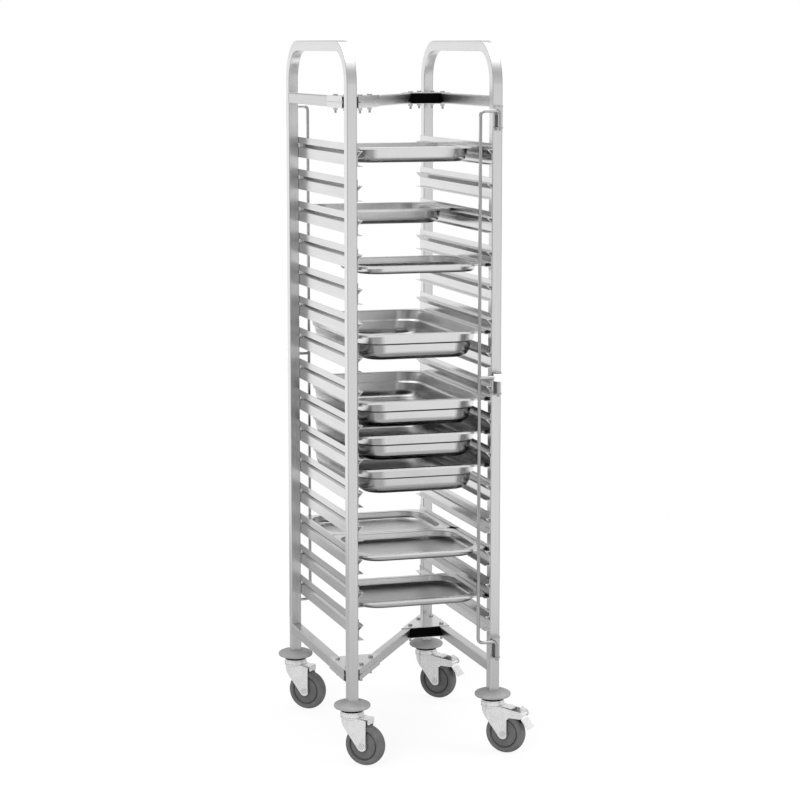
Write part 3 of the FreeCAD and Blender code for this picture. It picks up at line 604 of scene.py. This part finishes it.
class TROLLEY_OT_stage(bpy.types.Operator):
    """Pale floor, dark boards that the steel mirrors, soft lamps and the camera"""
    bl_idname = "trolley.stage"
    bl_label = "Stage"

    def execute(self, context):
        settings = context.scene.trolley_stage
        scene = context.scene
        scene.view_settings.view_transform = "Standard"
        self.floor(settings)
        self.boards(settings)
        self.world(scene, settings)
        self.lamps(scene, settings)
        self.camera(scene)
        return {"FINISHED"}

    @staticmethod
    def backdrop(name, mesh):
        """An object of the stage, and the nodes of its material."""
        piece = bpy.data.objects.new(name, mesh)
        bpy.context.scene.collection.objects.link(piece)
        material = bpy.data.materials.new(name)
        material.use_nodes = True
        mesh.materials.append(material)
        return piece, Nodes(material.node_tree)

    def floor(self, settings):
        """Pale matt floor that fades to the white background."""
        mesh = bpy.data.meshes.new("studio_floor")
        half = settings.floor
        mesh.from_pydata([(-half, -half, 0), (half, -half, 0), (half, half, 0), (-half, half, 0)],
                         [], [(0, 1, 2, 3)])
        _, nodes = self.backdrop("studio_floor", mesh)
        x, y, _ = nodes.position()
        away = (x * x + y * y).root().step(*FLOOR_FADE)
        share = nodes.seen() * (0.88 + away * 0.12)
        matt = nodes.node("ShaderNodeBsdfDiffuse", inputs={"Color": (0.9, 0.9, 0.9)})
        glow = nodes.node("ShaderNodeEmission", inputs={"Color": (1, 1, 1)})
        nodes.node("ShaderNodeOutputMaterial", inputs={"Surface": nodes.blend(share, matt, glow)})

    def boards(self, settings):
        """Dark boards that only the steel mirrors: a painted shadow on the floor round the foot, a patch
        behind it, one board on each side of the view, and a band above the horizon."""
        radius = BOARD_RADIUS
        mat = bpy.data.meshes.new("floor_shadow_and_boards")
        quarters = ((-1, -1), (1, -1), (1, 1), (-1, 1))
        mat.from_pydata([(x * radius, y * radius, FLOOR_BOARD_HEIGHT) for x, y in quarters], [], [(0, 1, 2, 3)])
        piece, nodes = self.backdrop("floor_shadow_and_boards", mat)
        x, y, _ = nodes.position()
        away = (x * x + y * y).root()
        # Painted shadow: a dark disc round the foot, seen only in reflections, stands in for the
        # trolley's shade on the floor.
        core = (1 - away.step(settings.mat * 0.5, settings.mat)) * settings.ground_shadow_share
        sides = self.sides(x, y, away, settings) * away.step(*SIDES_NEAR)
        behind = self.sector(x, y, away, REAR_PATCH, settings.rear_share)
        behind = behind * away.step(*REAR_NEAR) * (1 - away.step(*REAR_FAR))
        self.dark(piece, nodes, core.above(sides).above(behind), settings.tone)
        turns = 96
        angles = [math.tau * turn / turns for turn in range(turns)]
        corners = [(radius * math.cos(angle), radius * math.sin(angle)) for angle in angles]
        wall = bpy.data.meshes.new("dark_wall")
        wall.from_pydata([(*corner, z) for z in (0.0, settings.band_high) for corner in corners], [],
                         [(turn, (turn + 1) % turns, (turn + 1) % turns + turns, turn + turns)
                          for turn in range(turns)])
        piece, nodes = self.backdrop("dark_wall", wall)
        x, y, z = nodes.position()
        low = z.step(settings.band_low, settings.band_low + BAND_RISE) * settings.band_share
        band = low + z.step(*UPPER_RISE) * UPPER_SHARE
        below = 1 - z.step(settings.band_high - BAND_FADE, settings.band_high)
        sides = self.sides(x, y, (x * x + y * y).root(), settings)
        self.dark(piece, nodes, band.above(sides) * below, settings.tone)

    def sides(self, x, y, away, settings):
        """Cover of the two side boards, by compass direction from the trolley's foot."""
        left = self.sector(x, y, away, LEFT_BOARD, settings.left_share)
        return left.above(self.sector(x, y, away, RIGHT_BOARD, settings.right_share))

    @staticmethod
    def sector(x, y, away, board, share):
        """Cover round one compass direction, with soft edges."""
        turn, half = (math.radians(angle) for angle in board)
        soft = math.radians(BOARD_EDGE)
        facing = (x * math.sin(turn) - y * math.cos(turn)) / away
        return facing.step(math.cos(half + soft), math.cos(half - soft)) * share

    @staticmethod
    def dark(piece, nodes, share, tone):
        """Shows a board's tone by its cover, to mirrored rays alone."""
        clear = nodes.node("ShaderNodeBsdfTransparent")
        board = nodes.node("ShaderNodeEmission", inputs={"Color": (tone, tone, tone)})
        nodes.node("ShaderNodeOutputMaterial", inputs={"Surface": nodes.blend(share, clear, board)})
        for kind in ("camera", "diffuse", "transmission", "volume_scatter", "shadow"):
            setattr(piece, "visible_" + kind, False)

    def world(self, scene, settings):
        """Soft light from all round, and white where the background is seen."""
        scene.world = bpy.data.worlds.new("studio")
        scene.world.use_nodes = True
        nodes = Nodes(scene.world.node_tree)
        soft, white = (nodes.node("ShaderNodeBackground", inputs={"Color": (1, 1, 1), "Strength": level})
                       for level in (settings.soft_light, 1.0))
        nodes.node("ShaderNodeOutputWorld", inputs={"Surface": nodes.blend(nodes.seen(), soft, white)})

    @staticmethod
    def lamps(scene, settings):
        """Three square lamps: place, what it points at, size and share of the key light. The steel
        mirrors only the one above."""
        places = {
            "key_lamp": ((-2.6, -3.6, 2.4), (0, 0, 0.8), 2.2, 2.2),
            "fill_lamp": ((3.4, -2.4, 1.6), (0, 0, 0.8), 2.0, 1.2),
            "top_lamp": ((0.2, 0.6, 4.4), (0, 0, 0.6), 4.0, 0.9),
        }
        for name, (place, target, size, share) in places.items():
            lamp = bpy.data.lights.new(name, "AREA")
            lamp.shape = "SQUARE"
            lamp.size = size
            lamp.energy = settings.key_light * share
            holder = bpy.data.objects.new(name, lamp)
            holder.location = place
            holder.visible_glossy = name == "top_lamp"
            look = Vector(target) - Vector(place)
            holder.rotation_euler = look.to_track_quat("-Z", "Y").to_euler()
            scene.collection.objects.link(holder)

    @staticmethod
    def camera(scene):
        camera = bpy.data.cameras.new("photo_camera")
        camera.sensor_width = 36.0
        camera.lens = CAMERA_LENS
        camera.clip_end = 100.0
        holder = bpy.data.objects.new("photo_camera", camera)
        holder.location = CAMERA_PLACE
        holder.rotation_euler = (math.radians(90 - CAMERA_DOWN), 0, math.radians(CAMERA_TURN))
        scene.collection.objects.link(holder)
        scene.camera = holder


class TROLLEY_PT_pieces(bpy.types.Panel):
    """Lists the trolley's pieces and what can be changed about them"""
    bl_idname = "TROLLEY_PT_pieces"
    bl_label = "Tray Trolley"
    bl_space_type = "VIEW_3D"
    bl_region_type = "UI"
    bl_category = "Tray Trolley"

    def draw(self, context):
        for group, settings, operators in LAYOUT:
            box = self.layout.box()
            box.label(text=group)
            values = getattr(context.scene, settings)
            for name in values.__annotations__:
                box.prop(values, name)
            for operator in operators:
                box.operator(operator)


GROUPS = {
    "trolley_frame": FrameSettings,
    "trolley_runners": RunnerSettings,
    "trolley_trays": TraySettings,
    "trolley_gates": GateSettings,
    "trolley_casters": CasterSettings,
    "trolley_stage": StageSettings,
}
LAYOUT = (
    ("Frame", "trolley_frame", ("trolley.frame", "trolley.brackets")),
    ("Runners", "trolley_runners", ("trolley.runners",)),
    ("Trays", "trolley_trays", ("trolley.trays",)),
    ("Gates", "trolley_gates", ("trolley.gates",)),
    ("Casters", "trolley_casters", ("trolley.casters",)),
    ("Stage", "trolley_stage", ("trolley.stage",)),
)
OPERATORS = (TROLLEY_OT_frame, TROLLEY_OT_brackets, TROLLEY_OT_runners, TROLLEY_OT_trays,
             TROLLEY_OT_gates, TROLLEY_OT_casters, TROLLEY_OT_stage)


def register():
    for group in (*GROUPS.values(), *OPERATORS, TROLLEY_PT_pieces):
        bpy.utils.register_class(group)
    for name, group in GROUPS.items():
        setattr(bpy.types.Scene, name, PointerProperty(type=group))


def unregister():
    for name in GROUPS:
        delattr(bpy.types.Scene, name)
    for group in reversed((*GROUPS.values(), *OPERATORS, TROLLEY_PT_pieces)):
        bpy.utils.unregister_class(group)


def main():
    register()
    for _, _, operators in LAYOUT:
        for operator in operators:
            family, action = operator.split(".")
            getattr(getattr(bpy.ops, family), action)()


if __name__ == "__main__":
    main()
